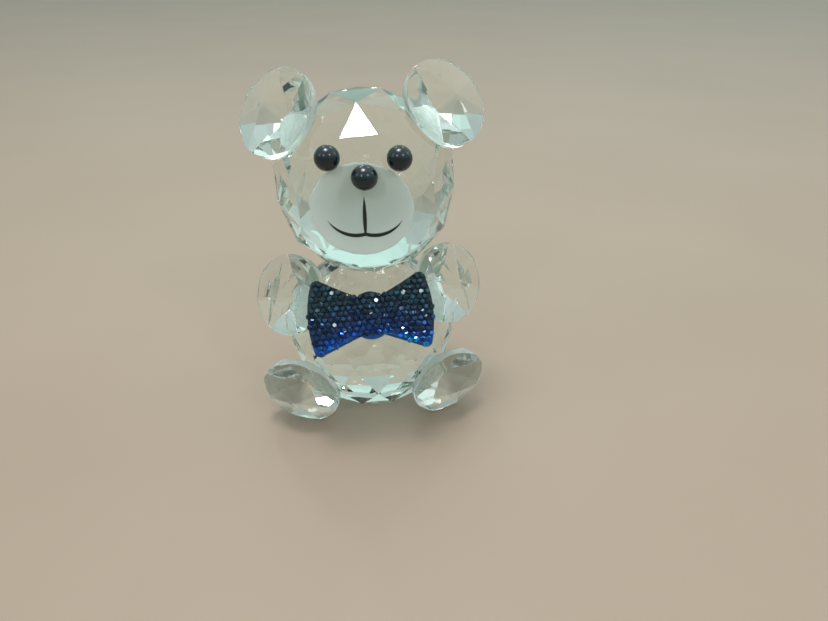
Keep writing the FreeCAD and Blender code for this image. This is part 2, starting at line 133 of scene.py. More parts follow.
def ground_edge_crystal():
    """Edge of a round stone, left from the fine wheel: satin and bright, with a fine grain."""
    material, tree = new_material("optical_crystal_ground_edge")
    place = node(tree, "ShaderNodeTexCoord").outputs["Object"]
    grain = node(tree, "ShaderNodeTexNoise", {"Vector": place, "Scale": 2200, "Detail": 4})
    satin = node(tree, "ShaderNodeMapRange", {"Value": grain.outputs["Fac"], "To Min": 0.08, "To Max": 0.2})
    edge = node(tree, "ShaderNodeBsdfPrincipled", {
        "Base Color": srgb("FDFFFE"), "Roughness": satin.outputs["Result"], "IOR": CRYSTAL_INDEX,
        "Transmission Weight": 0.72})
    crystal_depth(tree, edge)
    return material


def frosted_crystal(muzzle_middle):
    """Muzzle, sand-blasted to a satin frost that scatters what is behind it, with a painted highlight that
    whitens it towards its rim.
    """
    material, tree = new_material("optical_crystal_sand_blasted")
    place = node(tree, "ShaderNodeTexCoord").outputs["Object"]
    grit = node(tree, "ShaderNodeTexNoise", {"Vector": place, "Scale": 5200, "Detail": 2})
    cloud = node(tree, "ShaderNodeTexNoise", {"Vector": place, "Scale": 160, "Detail": 2})
    from_middle = node(tree, "ShaderNodeVectorMath", {0: place, 1: muzzle_middle}, operation="DISTANCE")
    # Painted highlight: the frost's colour whitens towards the rim, as a bright rim of light; the cloud adds
    # random blotches.
    painted_rim_glow = node(tree, "ShaderNodeMapRange", {"Value": from_middle.outputs["Value"], "From Min": 5 * MM,
                                               "From Max": 10.5 * MM, "To Min": 0.0, "To Max": 1.0})
    cloud_and_rim_glow = node(tree, "ShaderNodeMath", {0: cloud.outputs["Fac"], 1: 0.2, 2: painted_rim_glow.outputs["Result"]},
                  operation="MULTIPLY_ADD")
    tint = node(tree, "ShaderNodeMix", {0: cloud_and_rim_glow.outputs["Value"], 6: srgb("DCE9E5"), 7: srgb("F6FFFE")},
                data_type="RGBA")
    rough = node(tree, "ShaderNodeMapRange", {"Value": grit.outputs["Fac"], "To Min": 0.5, "To Max": 0.75})
    pits = node(tree, "ShaderNodeBump", {"Height": grit.outputs["Fac"], "Strength": 0.25,
                                         "Distance": 0.02 * MM})
    frost = node(tree, "ShaderNodeBsdfPrincipled", {
        "Base Color": tint.outputs[2], "Roughness": rough.outputs["Result"], "IOR": CRYSTAL_INDEX,
        "Transmission Weight": 0.3, "Normal": pits.outputs["Normal"]})
    crystal_depth(tree, frost)
    return material


def widest_flat(name):
    """Normal, centre and outline points of the largest flat of a CAD node."""
    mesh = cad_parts[name].data
    mesh.calc_loop_triangles()
    flats = {}
    for triangle in mesh.loop_triangles:
        normal = triangle.normal
        corner = mesh.vertices[triangle.vertices[0]].co
        key = (*(round(c, 2) for c in normal), round(corner.dot(normal) / PLANE_STEP))
        flats.setdefault(key, []).append(triangle)
    flat = max(flats.values(), key=lambda triangles: sum(t.area for t in triangles))
    area = sum(t.area for t in flat)
    centre = sum((t.center * t.area for t in flat), Vector()) / area
    outline = [mesh.vertices[v].co.copy() for t in flat for v in t.vertices]
    return flat[0].normal.copy(), centre, outline


def film(name):
    """Middle and axis of a film of adhesive, and its outline as spokes in order round the middle."""
    axis, centre, outline = widest_flat(name)
    across = axis.orthogonal().normalized()
    along = axis.cross(across)
    middle = centre - axis * FILM_THICKNESS / 2
    rim = {}
    for point in outline:
        spoke = point - centre
        turn = math.atan2(spoke.dot(along), spoke.dot(across))
        rim[round(turn, 3)] = spoke
    return middle, axis, [rim[turn] for turn in sorted(rim)]


def imprint_seat(shell, middle, axis, outline, material_index):
    """Draw the edge of an adhesive film on the flat that it wets, and give the inside its own material."""
    seat = None
    for face in shell.faces:
        off = abs(axis.dot(face.calc_center_median() - middle))
        if abs(face.normal.dot(axis)) > SQUARE_ON and off < FILM_THICKNESS:
            if seat is None or face.calc_area() > seat.calc_area():
                seat = face
    if seat is None:
        return
    normal = seat.normal.copy()
    on_seat = middle - normal * normal.dot(middle - seat.verts[0].co)
    ring = [shell.verts.new(on_seat + spoke * SEAT_INSET) for spoke in outline]
    loop = [shell.edges.new((ring[i - 1], ring[i])) for i in range(len(ring))]
    border = list(seat.edges)
    shell.faces.remove(seat)
    fill = bmesh.ops.triangle_fill(shell, edges=border + loop, normal=normal, use_beauty=True)
    around = [part for part in fill["geom"] if isinstance(part, bmesh.types.BMFace)]
    wetted = shell.faces.new(ring)
    wetted.material_index = material_index
    for face in [wetted, *around]:
        face.normal_update()
        if face.normal.dot(normal) < 0:
            face.normal_flip()


def finished_piece(name, mesh, slot, *nodes):
    """Object at the origin that rides with the frame and stands for CAD nodes."""
    piece = bpy.data.objects.new(name, mesh)
    bpy.context.scene.collection.objects.link(piece)
    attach(piece, "root")
    if nodes:
        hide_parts(*nodes)
    return piece


head_low, head_high = (Vector(corner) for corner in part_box("head_ball"))
mouth_low, mouth_high = (Vector(corner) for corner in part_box("mouth"))
muzzle_middle = Vector(((mouth_low.x + mouth_high.x) / 2, head_low.y, (head_low.z + head_high.z) / 2))

crystal = polished_crystal()
bonded = bonded_crystal()
frosted = frosted_crystal(muzzle_middle)
ground_edge = ground_edge_crystal()


def on_muzzle(face):
    """Whether a face of the head belongs to its ground front, which is slightly crowned."""
    return (face.normal.y < -MUZZLE_FACING
            and face.calc_center_median().y < muzzle_middle.y + MUZZLE_CROWN)


def bevelled(shell, edges, width):
    """Cut a flat land along some edges, and return its faces."""
    return bmesh.ops.bevel(shell, geom=edges, offset=width, segments=1, profile=0.5, affect="EDGES",
                           clamp_overlap=True)["faces"]


def cut_piece(name, node_name, films):
    """Crystal piece from its CAD solid, with worn edges and with its glued flats marked out."""
    shell = bmesh.new()
    shell.from_mesh(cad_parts[node_name].data)
    bmesh.ops.remove_doubles(shell, verts=shell.verts, dist=WELD)
    for face in shell.faces:
        face.material_index = POLISHED
    bmesh.ops.dissolve_limit(shell, angle_limit=FLAT_ANGLE, verts=shell.verts, edges=shell.edges)
    if node_name in LIMBS:
        points = [vertex for vertex in shell.verts if len(vertex.link_faces) == STONE_FACETS]
        facing = sum((face.normal for face in points[0].link_faces), Vector()).normalized()
    for film_name in films:
        imprint_seat(shell, *film(film_name), POLISHED if film_name == "glue_neck" else BONDED)
    if node_name in LIMBS:
        for face in shell.faces:
            if abs(face.normal.dot(facing)) < EDGE_FACING and face.material_index == POLISHED:
                face.material_index = GROUND_EDGE
    if node_name == "head_ball":
        muzzle = {face for face in shell.faces if on_muzzle(face)}
        rim = [edge for edge in shell.edges if len(muzzle.intersection(edge.link_faces)) == 1]
        for face in bevelled(shell, rim, MUZZLE_CHAMFER):
            face.material_index = FROSTED
    sharp = [edge for edge in shell.edges if edge.is_manifold and edge.calc_face_angle(0) > FACET_ANGLE]
    bevelled(shell, sharp, WORN_EDGE)
    for face in shell.faces:
        if node_name == "head_ball" and on_muzzle(face):
            face.material_index = FROSTED
        face.smooth = True
    mesh = bpy.data.meshes.new(name)
    shell.to_mesh(mesh)
    shell.free()
    mesh.set_sharp_from_angle(angle=FACET_ANGLE)
    for material in (crystal, bonded, frosted, ground_edge):
        mesh.materials.append(material)
    return finished_piece(name, mesh, "crystal", node_name)


head_films = ["glue_neck", "glue_ear_left", "glue_ear_right", "glue_eye_left", "glue_eye_right", "glue_nose"]
body_films = ["glue_neck", "glue_bow"] + [f"glue_{limb}" for limb in LIMBS if not limb.startswith("ear")]
cut_piece("body_crystal", "body_ball", body_films)
head_crystal = cut_piece("head_crystal", "head_ball", head_films)
for limb in LIMBS:
    cut_piece(f"{limb}_crystal", limb, [f"glue_{limb}"])

# --- Adhesive films ---------------------------------------------------------------------------------
# A drop of clear ultraviolet-cured adhesive spreads over each pair of flats and sets hard, as a sheet
# a tenth of a millimetre thick, the shape of the flat, whose rim is drawn in slightly as it cures.

FILM_HALF = 0.044 * MM
DRAWN_IN = 0.05 * MM


def cured_adhesive():
    """Acrylic adhesive set clear, faintly hazed by tiny bubbles, which hardly bends the light."""
    material, tree = new_material("uv_cured_adhesive")
    place = node(tree, "ShaderNodeTexCoord").outputs["Object"]
    bubbles = node(tree, "ShaderNodeTexVoronoi", {"Vector": place, "Scale": 3500})
    haze = node(tree, "ShaderNodeMapRange", {"Value": bubbles.outputs["Distance"], "From Max": 0.3,
                                             "To Min": 0.35, "To Max": 0.1})
    resin = node(tree, "ShaderNodeBsdfPrincipled", {
        "Base Color": srgb("EAF6F1"), "Roughness": haze.outputs["Result"], "IOR": 1.03,
        "Transmission Weight": 1.0})
    node(tree, "ShaderNodeOutputMaterial", {"Surface": resin.outputs["BSDF"]})
    return material


def join_rings(shell, rings):
    """Join rings of points, each to the next one, and close the first and the last."""
    for lower, upper in zip(rings, rings[1:]):
        for step in range(len(lower)):
            shell.faces.new((lower[step - 1], lower[step], upper[step], upper[step - 1]))
    shell.faces.new(rings[0])
    shell.faces.new(rings[-1])
    bmesh.ops.recalc_face_normals(shell, faces=shell.faces)
    return shell


def cured_film(middle, axis, outline):
    """Flat film with the given outline, its rim hollowed a little."""
    shell = bmesh.new()
    rings = []
    for inset, height in ((0.0, -FILM_HALF), (DRAWN_IN, -FILM_HALF / 2), (DRAWN_IN, FILM_HALF / 2),
                          (0.0, FILM_HALF)):
        rings.append([shell.verts.new(middle + axis * height + spoke * SEAT_INSET
                                      - spoke.normalized() * inset) for spoke in outline])
    return join_rings(shell, rings)


def to_mesh(shell, name, material, angle=math.radians(40)):
    """Mesh of one material from a shell, smooth but for the edges sharper than an angle."""
    for face in shell.faces:
        face.smooth = True
    mesh = bpy.data.meshes.new(name)
    shell.to_mesh(mesh)
    shell.free()
    mesh.set_sharp_from_angle(angle=angle)
    mesh.materials.append(material)
    return mesh


adhesive = cured_adhesive()
film_names = sorted(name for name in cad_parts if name.startswith("glue_"))
for film_name in film_names:
    name = film_name.replace("glue_", "adhesive_")
    sheet = to_mesh(cured_film(*film(film_name)), name, adhesive)
    finished_piece(name, sheet, "adhesive", film_name)

# --- Eyes and nose ----------------------------------------------------------------------------------
# Three pressed beads of black glass, fire polished, with a flat ground behind so that they sit on the
# crystal.  The nose is pressed a little wider than it is high.

BEAD_SEGMENTS = 64
BEAD_RINGS = 28
SOFT_EDGE = 0.08 * MM
SOFT_EDGE_TURN = 0.03
FRONT_FLAT_TURN = 0.02


def black_glass():
    """Fire-polished black glass: near black with a dark blue-green cast, a soft gloss and some dust."""
    material, tree = new_material("black_glass_fire_polished")
    place = node(tree, "ShaderNodeTexCoord").outputs["Object"]
    dust = node(tree, "ShaderNodeTexNoise", {"Vector": place, "Scale": 2600, "Detail": 3})
    wave = node(tree, "ShaderNodeTexNoise", {"Vector": place, "Scale": 260, "Detail": 1})
    specks = node(tree, "ShaderNodeMapRange", {"Value": dust.outputs["Fac"], "From Min": 0.66,
                                               "From Max": 0.72})
    tint = node(tree, "ShaderNodeMix", {0: specks.outputs["Result"], 6: srgb("051C25"),
                                        7: srgb("102E38")}, data_type="RGBA")
    polish = node(tree, "ShaderNodeMapRange", {"Value": dust.outputs["Fac"], "To Min": 0.2, "To Max": 0.25})
    skin = node(tree, "ShaderNodeBump", {"Height": wave.outputs["Fac"], "Strength": 0.05,
                                         "Distance": 0.02 * MM})
    bead = node(tree, "ShaderNodeBsdfPrincipled", {
        "Base Color": tint.outputs[2], "Roughness": polish.outputs["Result"], "IOR": 1.55,
        "Normal": skin.outputs["Normal"]})
    node(tree, "ShaderNodeOutputMaterial", {"Surface": bead.outputs["BSDF"]})
    return material


def bead_profile(half_width, back):
    """Round profile from the flat ground behind, over a softened edge, to the front."""
    start = math.acos(min(1.0, back / half_width))
    first = math.pi - start - SOFT_EDGE_TURN
    profile = [(half_width * math.sin(start) - SOFT_EDGE, -back)]
    for step in range(BEAD_RINGS):
        angle = first - (first - FRONT_FLAT_TURN) * step / (BEAD_RINGS - 1)
        profile.append((half_width * math.sin(angle), half_width * math.cos(angle)))
    return profile


def turned(profile, middle, axis, across):
    """Closed shell turned about an axis from (radius, height) pairs."""
    shell = bmesh.new()
    along = axis.cross(across)
    rings = []
    for radius, height in profile:
        ring = []
        for step in range(BEAD_SEGMENTS):
            turn = 2 * math.pi * step / BEAD_SEGMENTS
            spot = middle + axis * height + radius * (math.cos(turn) * across + math.sin(turn) * along)
            ring.append(shell.verts.new(spot))
        rings.append(ring)
    return join_rings(shell, rings)


black_bead = black_glass()
for name in ("eye_left", "eye_right", "nose"):
    flat_normal, flat_centre, outline = widest_flat(name)
    axis = -flat_normal
    depth = max(axis.dot(vertex.co - flat_centre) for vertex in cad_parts[name].data.vertices)
    low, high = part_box(name)
    width = high[0] - low[0]
    half = width / 2
    back = depth - half
    middle = flat_centre + axis * back
    across = Vector((0, 0, 1)).cross(axis).normalized()
    bead = turned(bead_profile(half, back), middle, axis, across)
    if name == "nose":
        squash = (high[2] - low[2]) / width
        for vertex in bead.verts:
            vertex.co.z = middle.z + (vertex.co.z - middle.z) * squash
    finished_piece(f"{name}_bead", to_mesh(bead, f"{name}_bead", black_bead), "bead", name)

# --- Mouth ------------------------------------------------------------------------------------------
# Three brush lines of black enamel on the frosted muzzle, thick in the middle and drawn out to points.


def black_enamel():
    """Brushed enamel, dried to a soft gloss with faint bristle lines."""
    material, tree = new_material("black_enamel_brushed")
    place = node(tree, "ShaderNodeTexCoord").outputs["Object"]
    bristles = node(tree, "ShaderNodeTexNoise", {"Vector": place, "Scale": 4200, "Detail": 2})
    tint = node(tree, "ShaderNodeMix", {0: bristles.outputs["Fac"], 6: srgb("0A1412"), 7: srgb("1C2F29")},
                data_type="RGBA")
    gloss = node(tree, "ShaderNodeMapRange", {"Value": bristles.outputs["Fac"], "To Min": 0.2, "To Max": 0.4})
    ridges = node(tree, "ShaderNodeBump", {"Height": bristles.outputs["Fac"], "Strength": 0.3,
                                           "Distance": 0.02 * MM})
    paint = node(tree, "ShaderNodeBsdfPrincipled", {
        "Base Color": tint.outputs[2], "Roughness": gloss.outputs["Result"],
        "Normal": ridges.outputs["Normal"]})
    node(tree, "ShaderNodeOutputMaterial", {"Surface": paint.outputs["BSDF"]})
    return material


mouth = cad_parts["mouth"]
mouth.data.materials.clear()
mouth.data.materials.append(black_enamel())

# --- Bow tie ----------------------------------------------------------------------------------------
# One casting of dark resin with a flat back and pillowed wings, moulded all over with small faceted
# stones in close rows.  A blue foil shows through the resin.  The bright blue along the lower edges is a
# painted glow, for light coming through the resin, fading to navy and to green-black at the top, and a
# few stone facets carry painted glints.

STONE_SIDES = 6
GIRDLE_RADIUS = 0.69 * MM
TABLE_RADIUS = 0.43 * MM
STONE_ROOT = -0.4 * MM
GIRDLE_HEIGHT = 0.08 * MM
TABLE_HEIGHT = 0.31 * MM
STONE_PITCH = 1.32 * MM
STONE_SINK = 0.5 * MM
STONE_LEAN = 0.34
STONE_SPIN = 0.3
STONE_MARGIN = 0.22 * MM
COLUMNS = 24
ROWS = 19
ROW_LIFT = 100.25
ABOVE_BOW = 10 * MM
RAY_REACH = 0.1
BOW_SEED = 7
TONE_STRAY = 0.22
# Painted glints: facets whose random brightness passes these levels are painted towards white.
PAINTED_SPARKLE_FROM = 0.95
PAINTED_SPARKLE_FULL = 0.97
# Painted glow: the bright blue fades out over this height above the lower edge; at the knot, painted shade
# holds it lower.
PAINTED_GLOW_REACH = 9.5 * MM
LOBE_TIP = 12.3 * MM
KNOT_SHADE = 0.1
LOWER_EDGE = -3.5 * MM

bow_back_normal, bow_back_centre, bow_back_outline = widest_flat("bow_tie")
bow_out = -bow_back_normal
spread = np.array([point - bow_back_centre for point in bow_back_outline])
bow_across = Vector(np.linalg.svd(spread, full_matrices=False)[2][0])
if bow_across.x < 0:
    bow_across.negate()
bow_across = (bow_across - bow_out * bow_across.dot(bow_out)).normalized()
bow_up = bow_out.cross(bow_across)
bow_frame = Matrix((bow_across, bow_up, bow_out)).transposed().to_4x4()
bow_frame.translation = bow_back_centre


def foiled_resin(name, tones, metallic, coat, smooth, dull):
    """Cast resin over blue foil, with a painted glow: bright blue near the lower edge, navy above,
    green-black at the top.

    Each facet has a random painted brightness, and a few are painted nearly white, as glints.
    """
    material, tree = new_material(name)
    place = node(tree, "ShaderNodeTexCoord").outputs["Object"]
    tone = node(tree, "ShaderNodeAttribute", attribute_name="tone")
    rise = node(tree, "ShaderNodeAttribute", attribute_name="rise")
    stray = node(tree, "ShaderNodeMath", {0: tone.outputs["Fac"], 1: TONE_STRAY, 2: -TONE_STRAY / 2},
                 operation="MULTIPLY_ADD")
    mixed = node(tree, "ShaderNodeMath", {0: rise.outputs["Fac"], 1: stray.outputs["Value"]},
                 operation="ADD")
    ramp = node(tree, "ShaderNodeValToRGB", {"Fac": mixed.outputs["Value"]})
    stops = ramp.color_ramp.elements
    stops[0].position, stops[0].color = tones[0][0], srgb(tones[0][1])
    stops[1].position, stops[1].color = tones[-1][0], srgb(tones[-1][1])
    for position, colour in tones[1:-1]:
        stops.new(position).color = srgb(colour)
    grain = node(tree, "ShaderNodeTexNoise", {"Vector": place, "Scale": 2400, "Detail": 2})
    gloss = node(tree, "ShaderNodeMapRange", {"Value": grain.outputs["Fac"], "To Min": smooth,
                                              "To Max": dull})
    # Painted glints: each facet's colour is scaled by a random painted brightness, and the brightest few are
    # painted nearly white.
    painted_glint = node(tree, "ShaderNodeAttribute", attribute_name="painted_glint")
    painted_facet_light = node(tree, "ShaderNodeMapRange", {"Value": painted_glint.outputs["Fac"], "To Min": 0.45, "To Max": 1.9})
    facet = node(tree, "ShaderNodeVectorMath", {0: ramp.outputs["Color"], "Scale": painted_facet_light.outputs["Result"]},
                 operation="SCALE")
    painted_sparkle = node(tree, "ShaderNodeMapRange", {"Value": painted_glint.outputs["Fac"], "From Min": PAINTED_SPARKLE_FROM,
                                              "From Max": PAINTED_SPARKLE_FULL})
    colour = node(tree, "ShaderNodeMix", {0: painted_sparkle.outputs["Result"], 6: facet.outputs[0], 7: srgb("DCEBF8")},
                  data_type="RGBA")
    resin = node(tree, "ShaderNodeBsdfPrincipled", {
        "Base Color": colour.outputs[2], "Metallic": metallic, "Roughness": gloss.outputs["Result"],
        "Coat Weight": coat, "Coat Roughness": 0.03})
    node(tree, "ShaderNodeOutputMaterial", {"Surface": resin.outputs["BSDF"]})
    return material


# Each ramp runs from the painted blue glow at the lower edge to green-black at the top.
bow_casting = foiled_resin("cast_resin_over_foil",
                           ((0.0, "1070D8"), (0.12, "0E4490"), (0.4, "0D2A5C"), (0.9, "10283A")),
                           0.2, 0.0, 0.5, 0.7)
bow_stone = foiled_resin("moulded_resin_stone_over_foil",
                         ((0.0, "1EA4FF"), (0.06, "0D6EDC"), (0.14, "0E50A8"), (0.3, "103A78"),
                          (0.6, "143A64"), (1.0, "183E50")), 0.85, 0.55, 0.07, 0.2)

base = bmesh.new()
base.from_mesh(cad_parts["bow_tie"].data)
bmesh.ops.remove_doubles(base, verts=base.verts, dist=WELD)
bmesh.ops.transform(base, matrix=bow_frame.inverted(), verts=base.verts)
crest = max(vertex.co.z for vertex in base.verts)
for vertex in base.verts:
    vertex.co.z *= (crest - STONE_SINK) / crest
for face in base.faces:
    face.smooth = True
base_mesh = bpy.data.meshes.new("bow_tie_casting")
base.to_mesh(base_mesh)
base.free()
base_mesh.set_sharp_from_angle(angle=math.radians(35))
base_mesh.materials.append(bow_casting)


def moulded_stone():
    """One stone: six-sided, with a table on top, six crown facets and a short girdle."""
    shell = bmesh.new()
    rings = []
    for radius, height in ((GIRDLE_RADIUS, STONE_ROOT), (GIRDLE_RADIUS, GIRDLE_HEIGHT),
                           (TABLE_RADIUS, TABLE_HEIGHT)):
        ring = []
        for step in range(STONE_SIDES):
            turn = math.pi * (2 * step + 1) / STONE_SIDES
            ring.append(shell.verts.new((radius * math.cos(turn), radius * math.sin(turn), height)))
        rings.append(ring)
    join_rings(shell, rings)
    mesh = bpy.data.meshes.new("stone")
    shell.to_mesh(mesh)
    shell.free()
    return mesh


def stone_rows():
    """Tree that lays stones in staggered rows on a casting, standing square to its surface."""
    tree = bpy.data.node_groups.new("moulded_stones", "GeometryNodeTree")
    face = tree.interface
    sockets = {}
    for name, kind, value in (("Pitch", "NodeSocketFloat", STONE_PITCH),
                              ("Columns", "NodeSocketInt", COLUMNS), ("Rows", "NodeSocketInt", ROWS),
                              ("Tilt", "NodeSocketFloat", STONE_LEAN),
                              ("Margin", "NodeSocketFloat", STONE_MARGIN),
                              ("Seed", "NodeSocketInt", BOW_SEED), ("Casting", "NodeSocketObject", None),
                              ("Stone", "NodeSocketObject", None),
                              ("Material", "NodeSocketMaterial", None)):
        socket = face.new_socket(name, in_out="INPUT", socket_type=kind)
        if value is not None:
            socket.default_value = value
        sockets[name] = socket.identifier
    face.new_socket("Geometry", in_out="OUTPUT", socket_type="NodeSocketGeometry")
    given = node(tree, "NodeGroupInput").outputs
    row_step = node(tree, "ShaderNodeMath", {0: given["Pitch"], 1: math.sqrt(3) / 2}, operation="MULTIPLY")
    width = node(tree, "ShaderNodeMath", {0: given["Columns"], 1: given["Pitch"]}, operation="MULTIPLY")
    height = node(tree, "ShaderNodeMath", {0: given["Rows"], 1: row_step.outputs[0]}, operation="MULTIPLY")
    columns = node(tree, "ShaderNodeMath", {0: given["Columns"], 1: 1.0}, operation="ADD")
    rows = node(tree, "ShaderNodeMath", {0: given["Rows"], 1: 1.0}, operation="ADD")
    grid = node(tree, "GeometryNodeMeshGrid", {"Size X": width.outputs[0], "Size Y": height.outputs[0],
                                               "Vertices X": columns.outputs[0],
                                               "Vertices Y": rows.outputs[0]})
    spot = node(tree, "ShaderNodeSeparateXYZ", {0: node(tree, "GeometryNodeInputPosition").outputs[0]})
    row = node(tree, "ShaderNodeMath", {0: spot.outputs["Y"], 1: row_step.outputs[0]}, operation="DIVIDE")
    # Lifted by an even number and a quarter, a row's number is positive and well clear of rounding.
    lifted = node(tree, "ShaderNodeMath", {0: row.outputs[0], 1: ROW_LIFT}, operation="ADD")
    whole = node(tree, "ShaderNodeMath", {0: lifted.outputs[0]}, operation="FLOOR")
    odd = node(tree, "ShaderNodeMath", {0: whole.outputs[0], 1: 2.0}, operation="MODULO")
    half_pitch = node(tree, "ShaderNodeMath", {0: odd.outputs[0], 1: given["Pitch"]}, operation="MULTIPLY")
    shift = node(tree, "ShaderNodeMath", {0: half_pitch.outputs[0], 1: 0.5}, operation="MULTIPLY")
    offset = node(tree, "ShaderNodeCombineXYZ", {"X": shift.outputs[0], "Z": ABOVE_BOW})
    staggered = node(tree, "GeometryNodeSetPosition", {"Geometry": grid.outputs["Mesh"],
                                                       "Offset": offset.outputs[0]})
    casting = node(tree, "GeometryNodeObjectInfo", {"Object": given["Casting"]})
    down = node(tree, "GeometryNodeRaycast", {"Target Geometry": casting.outputs["Geometry"],
                                              "Ray Direction": (0.0, 0.0, -1.0), "Ray Length": RAY_REACH})
    with_face = node(tree, "GeometryNodeStoreNamedAttribute", {
        "Geometry": staggered.outputs[0], "Name": "face", "Value": down.outputs["Hit Normal"]},
        data_type="FLOAT_VECTOR", domain="POINT")
    here = node(tree, "GeometryNodeInputPosition").outputs[0]
    clear = down.outputs["Is Hit"]
    for side in ((1, 0, 0), (-1, 0, 0), (0, 1, 0), (0, -1, 0)):
        step = node(tree, "ShaderNodeVectorMath", {0: side, "Scale": given["Margin"]}, operation="SCALE")
        beside = node(tree, "ShaderNodeVectorMath", {0: here, 1: step.outputs[0]}, operation="ADD")
        probe = node(tree, "GeometryNodeRaycast", {
            "Target Geometry": casting.outputs["Geometry"], "Source Position": beside.outputs[0],
            "Ray Direction": (0.0, 0.0, -1.0), "Ray Length": RAY_REACH})
        clear = node(tree, "FunctionNodeBooleanMath", {0: clear, 1: probe.outputs["Is Hit"]},
                     operation="AND").outputs[0]
    with_hit = node(tree, "GeometryNodeStoreNamedAttribute", {
        "Geometry": with_face.outputs[0], "Name": "hit", "Value": clear},
        data_type="BOOLEAN", domain="POINT")
    laid = node(tree, "GeometryNodeSetPosition", {"Geometry": with_hit.outputs[0],
                                                  "Position": down.outputs["Hit Position"]})
    hit = node(tree, "GeometryNodeInputNamedAttribute", {"Name": "hit"}, data_type="BOOLEAN")
    missed = node(tree, "FunctionNodeBooleanMath", {0: hit.outputs[0]}, operation="NOT")
    kept = node(tree, "GeometryNodeDeleteGeometry", {"Geometry": laid.outputs[0],
                                                     "Selection": missed.outputs[0]}, domain="POINT")
    normal = node(tree, "GeometryNodeInputNamedAttribute", {"Name": "face"}, data_type="FLOAT_VECTOR")
    square = node(tree, "FunctionNodeAlignRotationToVector", {"Vector": normal.outputs[0]}, axis="Z")
    least = node(tree, "ShaderNodeMath", {0: given["Tilt"], 1: -1.0}, operation="MULTIPLY")
    low = node(tree, "ShaderNodeCombineXYZ", {"X": least.outputs[0], "Y": least.outputs[0],
                                              "Z": -STONE_SPIN})
    high = node(tree, "ShaderNodeCombineXYZ", {"X": given["Tilt"], "Y": given["Tilt"], "Z": STONE_SPIN})
    wobble = node(tree, "FunctionNodeRandomValue", {0: low.outputs[0], 1: high.outputs[0],
                                                    "Seed": given["Seed"]}, data_type="FLOAT_VECTOR")
    turn = node(tree, "FunctionNodeEulerToRotation", {0: wobble.outputs[0]})
    leaning = node(tree, "FunctionNodeRotateRotation", {"Rotation": square.outputs[0],
                                                        "Rotate By": turn.outputs[0]},
                   rotation_space="LOCAL")
    stone = node(tree, "GeometryNodeObjectInfo", {"Object": given["Stone"]})
    placed = node(tree, "GeometryNodeInstanceOnPoints", {
        "Points": kept.outputs[0], "Instance": stone.outputs["Geometry"], "Rotation": leaning.outputs[0]})
    tone = node(tree, "FunctionNodeRandomValue", {2: 0.0, 3: 1.0, "Seed": given["Seed"]}, data_type="FLOAT")
    toned = node(tree, "GeometryNodeStoreNamedAttribute", {
        "Geometry": placed.outputs[0], "Name": "tone", "Value": tone.outputs[1]},
        data_type="FLOAT", domain="INSTANCE")
    real = node(tree, "GeometryNodeRealizeInstances", {"Geometry": toned.outputs[0]})
    painted = node(tree, "GeometryNodeSetMaterial", {"Geometry": real.outputs[0],
                                                     "Material": given["Material"]})
    node(tree, "NodeGroupOutput", {"Geometry": painted.outputs[0]})
    return tree, sockets


base_object = bpy.data.objects.new("bow_tie_casting_local", base_mesh)
stone_object = bpy.data.objects.new("stone_local", moulded_stone())
grower = bpy.data.objects.new("stone_rows_local", bpy.data.meshes.new("stone_rows_local"))
for helper in (base_object, stone_object, grower):
    bpy.context.scene.collection.objects.link(helper)
tree, sockets = stone_rows()
rows = grower.modifiers.new("stones", "NODES")
rows.node_group = tree
rows[sockets["Casting"]] = base_object
rows[sockets["Stone"]] = stone_object
rows[sockets["Material"]] = bow_stone
bpy.context.view_layer.update()
stones_mesh = bpy.data.meshes.new_from_object(grower.evaluated_get(bpy.context.evaluated_depsgraph_get()))
stones_mesh.materials.clear()
stones_mesh.materials.append(bow_stone)
stones_mesh.polygons.foreach_set("material_index", [0] * len(stones_mesh.polygons))
# Painted glints: a random painted brightness for every facet of the stones.
painted_glint = stones_mesh.attributes.new("painted_glint", "FLOAT", "FACE")
chances = np.random.RandomState(BOW_SEED).random_sample(len(stones_mesh.polygons))
painted_glint.data.foreach_set("value", chances ** 2)
placed_base = base_mesh.copy()
flat_outline = [bow_frame.inverted() @ point for point in bow_back_outline]
low_edge = sorted((point.x, point.y) for point in flat_outline if point.y < LOWER_EDGE)
edge_x, edge_y = np.array(low_edge).T
# Painted glow: each point's height above the lower edge sets how far the blue glow has faded, with painted
# shade added at the knot.
for mesh in (stones_mesh, placed_base):
    rise = mesh.attributes.new("rise", "FLOAT", "POINT")
    for vertex, mark in zip(mesh.vertices, rise.data):
        across = max(-LOBE_TIP, min(LOBE_TIP, vertex.co.x))
        height = vertex.co.y - float(np.interp(across, edge_x, edge_y))
        mark.value = max(0.0, height / PAINTED_GLOW_REACH + KNOT_SHADE * (1 - abs(across) / LOBE_TIP))
    mesh.transform(bow_frame)
for helper in (grower, stone_object, base_object):
    bpy.data.objects.remove(helper)
finished_piece("bow_tie_casting", placed_base, "resin", "bow_tie")
finished_piece("bow_tie_stones", stones_mesh, "resin")

# --- Table, lights and camera -----------------------------------------------------------------------
# A plain pale table top with a soft sheen.  A small and a large softbox overhead are mirrored by the
# forehead.  One stands to each side, a window and two small lamps behind, and two lamps in front.

TABLE_REACH = 3.0
BEAR_MIDDLE = (0, 0, 0.04)
FACET_AREA = 20 * MM * MM
FOREHEAD_RISE = math.radians(54)


